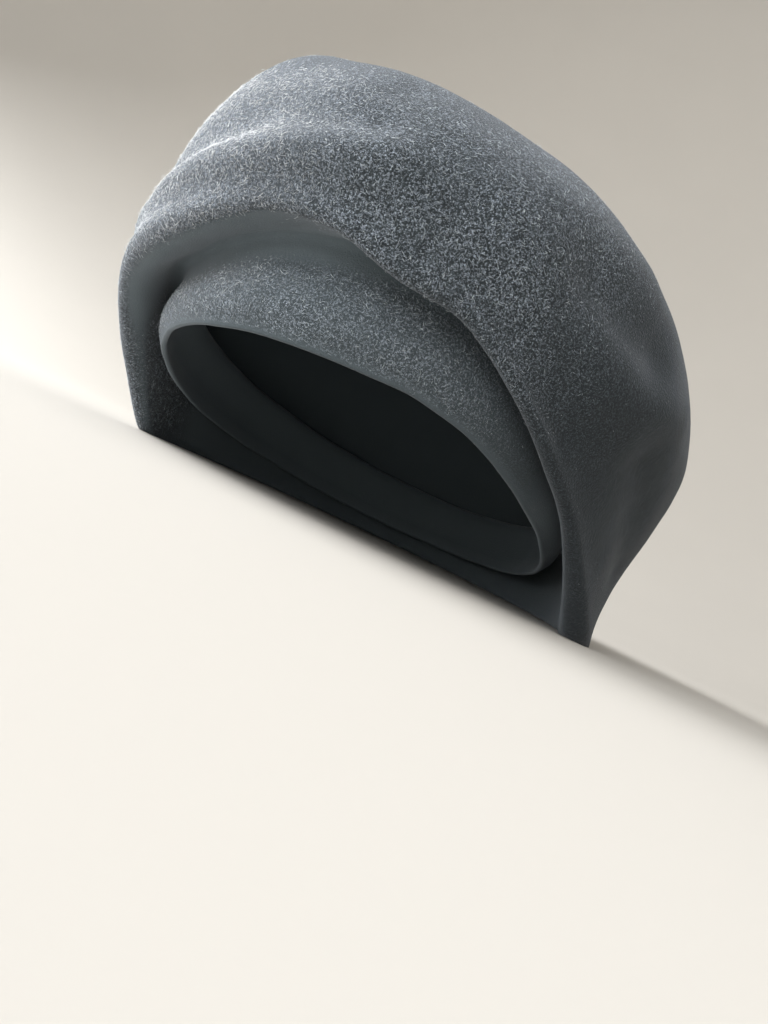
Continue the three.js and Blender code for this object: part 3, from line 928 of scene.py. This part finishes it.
def felt_samples(shell, count, rubbed_share, draw):
    """Points scattered over the brushed face of the felt, with the surface's normals and how
    much nap is left there."""
    mesh = shell.data
    points, triangles = mesh_points(mesh), mesh_triangles(mesh)
    brushed_face = read_all(mesh.loop_triangles, "material_index", int) == 0
    sheltered, nap_left = (read_all(mesh.attributes[name].data, "value")
                           for name in ("sheltered", "nap_left"))
    a, b, c = (points[triangles[:, k]] for k in range(3))
    across = np.cross(b - a, c - a)
    area = np.linalg.norm(across, axis=1) * brushed_face
    off_table = np.minimum.reduce((a[:, 2], b[:, 2], c[:, 2])) > OFF_TABLE
    in_the_open = 1 - (1 - SHELTERED_SHARE) * sheltered[triangles].mean(axis=1)
    share = area * off_table * nap_cover((a + b + c) / 3, rubbed_share) * in_the_open
    chosen = draw.choice(len(triangles), size=count, p=share / share.sum())
    u, v = draw.random((2, count, 1))
    swap = u + v > 1
    u, v = np.where(swap, 1 - u, u), np.where(swap, 1 - v, v)
    roots = a[chosen] + u * (b - a)[chosen] + v * (c - a)[chosen]
    normals = across[chosen] / np.linalg.norm(across[chosen], axis=1)[:, None]
    return roots, normals, nap_left[triangles].mean(axis=1)[chosen]


def fibre_points(pattern, shell, nap, row, draw):
    """Every fibre's points: the pattern, rooted in the felt, rising and curling over."""
    single = (row["fibres"], 1, 1)
    roots, normals, nap_left = felt_samples(shell, row["fibres"], row["rubbed"], draw)
    above = normals[:, None]
    ahead = unit(np.cross(normals, draw.normal(size=normals.shape)))[:, None]
    aside = np.cross(above, ahead)
    grown = (SHORTEST + (1 - SHORTEST) * nap_left)[:, None, None]
    length = nap.length * row["length"] * grown * draw.uniform(*LENGTHS, single)
    stand = nap.stand * length * draw.uniform(*STANDS, single)
    curl = length * draw.normal(0, CURL_SPREAD, single)
    wave = length * draw.normal(0, WAVE_SPREAD, single) * row["wave"]
    width = nap.width / 2 * grown * draw.uniform(*WIDTHS, single)

    def along(t):
        """Where each fibre's middle line is, t of the way from its root to its tip."""
        return (roots[:, None] + ahead * length * (t - WAVE_DRAW * row["wave"] * t**3)
                + aside * (curl * t**2 + wave * np.sin(2 * math.pi * t))
                + above * (stand * np.sin(ARCH * math.pi * t) - ROOT_DEPTH))

    x, y, t = (pattern[None, :, k:k + 1] for k in range(3))
    nudge = 0.02
    forward = unit(along(t + nudge) - along(t - nudge))
    across = unit(np.cross(forward, above))
    upward = np.cross(across, forward)
    points = along(t) + width * (across * x + upward * y)
    points[..., 2] = np.maximum(points[..., 2], FELT_LOW.z + CLEARANCE)
    return points.reshape(-1, 3)


def grow_fibres(shell, nap, name, row, draw):
    """One joined mesh of closed fibres, each with its own place in the UV map."""
    pattern, pattern_triangles = fibre_pattern(row["rings"])
    points = fibre_points(pattern, shell, nap, row, draw)
    firsts = np.arange(row["fibres"])[:, None, None] * len(pattern)
    triangles = (pattern_triangles[None] + firsts).reshape(-1, 3)
    cells = fibre_map(pattern, pattern_triangles, row["fibres"])
    if signed_volume(points, triangles) < 0:
        triangles, cells = triangles[:, ::-1], cells[:, ::-1]
    mesh = bpy.data.meshes.new(name)
    mesh.from_pydata(points, [], triangles)
    mesh.uv_layers.new(name="OFBake").uv.foreach_set("vector", cells.ravel().astype(np.float32))
    mesh.shade_smooth()
    piece = bpy.data.objects.new(name, mesh)
    bpy.context.scene.collection.objects.link(piece)
    return piece


class TOQUE_OT_brush_nap(bpy.types.Operator):
    """Covers the felt's outer face with short curled fibres, and fewer long ones"""

    bl_idname = "toque.brush_nap"
    bl_label = "Brush Up Nap"
    bl_options = {"REGISTER", "UNDO"}

    def execute(self, context):
        felt, nap = context.scene.toque_felt, context.scene.toque_nap
        shell = bpy.data.objects["felt_shell"]
        for order, (name, values) in enumerate(NAP_PIECES.items()):
            row = dict(zip(NAP_COLUMNS, values))
            piece = grow_fibres(shell, nap, name, row, np.random.default_rng((nap.seed, order)))
            piece.data.materials.append(fibre_material(name, felt, row["brightness"]))
            carried_by_the_hat(piece)
        return {"FINISHED"}


# ---- the studio ------------------------------------------------------------------------------
# Places and sizes are in metres.
BACKDROP_RADIUS = 1.8
BACKDROP_CURVE = 1.35
BACKDROP_HEIGHT = 2.6
BACKDROP_SIDES = 96
CURVE_STEPS = 24
FLOOR_RINGS = (0.9, 0.6, 0.3)        # of the radius of the flat floor
FLOOR_GAP = 0.05 * MM                # how far the floor is below the felt
COOL, WARM = (0.96, 0.98, 1.0), (1.0, 0.99, 0.97)
LIGHTS = {
    # name: (place, aim, size, colour)
    "key": ((-0.98, -0.17, 0.65), HAT_MIDDLE, 0.9, COOL),
    "fill": ((-0.34, -0.94, 0.58), HAT_MIDDLE, 0.9, COOL),
    "backdrop": ((0.15, 0.35, 1.5), (0.1, 1.8, 0.7), 1.2, WARM),
}
ROOM_COLOUR = (0.97, 0.99, 1.0)


def model_backdrop(colour):
    """A round floor that curves up into a wall all round, so that no edge shows from any side.
    A circle at the top of the wall is the start. It is extruded down the wall, round the curve
    and in over the floor, and filled there."""
    floor = FELT_LOW.z - FLOOR_GAP
    flat_radius = BACKDROP_RADIUS - BACKDROP_CURVE
    stops = [(BACKDROP_RADIUS, BACKDROP_CURVE)]
    for step in range(CURVE_STEPS - 1, -1, -1):
        turn = math.pi / 2 * step / CURVE_STEPS
        stops.append((flat_radius + BACKDROP_CURVE * math.sin(turn),
                      BACKDROP_CURVE * (1 - math.cos(turn))))
    stops += [(flat_radius * share, 0.0) for share in FLOOR_RINGS]

    deselect_all()
    bpy.ops.mesh.primitive_circle_add(vertices=BACKDROP_SIDES, radius=BACKDROP_RADIUS,
                                      fill_type="NOTHING", location=(0, 0, 0))
    backdrop = bpy.context.object
    backdrop.name = backdrop.data.name = "studio_backdrop"
    bpy.ops.object.mode_set(mode="EDIT")
    bpy.ops.mesh.select_mode(type="EDGE")
    bpy.ops.mesh.select_all(action="SELECT")
    bpy.ops.transform.translate(value=(0, 0, floor + BACKDROP_HEIGHT))
    radius, height = BACKDROP_RADIUS, BACKDROP_HEIGHT
    for next_radius, next_height in stops:
        bpy.ops.mesh.extrude_edges_move(
            TRANSFORM_OT_translate={"value": (0, 0, next_height - height)})
        scale = next_radius / radius
        bpy.ops.transform.resize(value=(scale, scale, 1), center_override=(0, 0, 0))
        radius, height = next_radius, next_height
    bpy.ops.mesh.edge_face_add()
    bpy.ops.mesh.select_all(action="SELECT")
    bpy.ops.mesh.normals_make_consistent(inside=True)
    bpy.ops.object.mode_set(mode="OBJECT")
    settle_faces(backdrop.data)
    bpy.ops.object.shade_smooth()
    backdrop.data.materials.append(backdrop_material(colour))


def soft_light(name, place, aim, size, power, colour):
    """A square area light at a place, turned to face a point."""
    light = bpy.data.lights.new(name, "AREA")
    light.shape = "SQUARE"
    light.size = size
    light.energy = power
    light.color = colour
    lamp = bpy.data.objects.new(name, light)
    lamp.location = place
    lamp.rotation_euler = (Vector(aim) - Vector(place)).to_track_quat("-Z", "Y").to_euler()
    bpy.context.scene.collection.objects.link(lamp)


def set_camera(studio):
    """The camera at its place, aimed and rolled."""
    camera = bpy.data.cameras.new("camera")
    camera.lens = studio.lens
    camera.sensor_width = 36.0
    camera.clip_start = 0.005
    camera.clip_end = 50.0
    holder = bpy.data.objects.new("camera", camera)
    place, aim = Vector(studio.camera_place), Vector(studio.camera_aim)
    look = (aim - place).to_track_quat("-Z", "Y").to_matrix().to_4x4()
    roll = Matrix.Rotation(studio.camera_roll, 4, "Z")
    holder.matrix_world = Matrix.Translation(place) @ look @ roll
    bpy.context.scene.collection.objects.link(holder)
    bpy.context.scene.camera = holder


class TOQUE_OT_set_studio(bpy.types.Operator):
    """Sets up the floor and backdrop, the soft lights and the camera"""

    bl_idname = "toque.set_studio"
    bl_label = "Set Studio"
    bl_options = {"REGISTER", "UNDO"}

    def execute(self, context):
        studio = context.scene.toque_studio
        model_backdrop(studio.backdrop_colour)
        for name, (place, aim, size, colour) in LIGHTS.items():
            power = getattr(studio, f"{name}_power")
            soft_light(f"{name}_light", place, aim, size, power, colour)
        set_camera(studio)
        world = bpy.data.worlds.new("studio_room")
        world.use_nodes = True
        background = world.node_tree.nodes["Background"]
        background.inputs["Color"].default_value = (*ROOM_COLOUR, 1)
        background.inputs["Strength"].default_value = studio.sky_strength
        context.scene.world = world
        context.scene.view_settings.view_transform = "Standard"
        return {"FINISHED"}


# ---- the panel and the run -------------------------------------------------------------------
class TOQUE_PT_sidebar(bpy.types.Panel):
    """Lists the toque's settings and steps in the sidebar"""

    bl_idname = "TOQUE_PT_sidebar"
    bl_label = "Draped Felt Toque"
    bl_space_type = "VIEW_3D"
    bl_region_type = "UI"
    bl_category = "Toque"

    def draw(self, context):
        steps = (("toque_felt", "toque.model_felt"), ("toque_nap", "toque.brush_nap"),
                 ("toque_studio", "toque.set_studio"))
        for settings, step in steps:
            box = self.layout.box()
            group = getattr(context.scene, settings)
            for name in group.bl_rna.properties.keys():
                if name not in ("rna_type", "name"):
                    box.prop(group, name)
            box.operator(step)


CLASSES = (ToqueFelt, ToqueNap, ToqueStudio, TOQUE_OT_model_felt, TOQUE_OT_brush_nap,
           TOQUE_OT_set_studio, TOQUE_PT_sidebar)
SETTINGS = {"toque_felt": ToqueFelt, "toque_nap": ToqueNap, "toque_studio": ToqueStudio}


def register():
    for made in CLASSES:
        bpy.utils.register_class(made)
    for name, group in SETTINGS.items():
        setattr(bpy.types.Scene, name, bpy.props.PointerProperty(type=group))


def unregister():
    for name in SETTINGS:
        delattr(bpy.types.Scene, name)
    for made in reversed(CLASSES):
        bpy.utils.unregister_class(made)


def main():
    """Builds everything in order."""
    register()
    bpy.ops.toque.model_felt()
    bpy.ops.toque.brush_nap()
    bpy.ops.toque.set_studio()


if __name__ == "__main__":
    main()
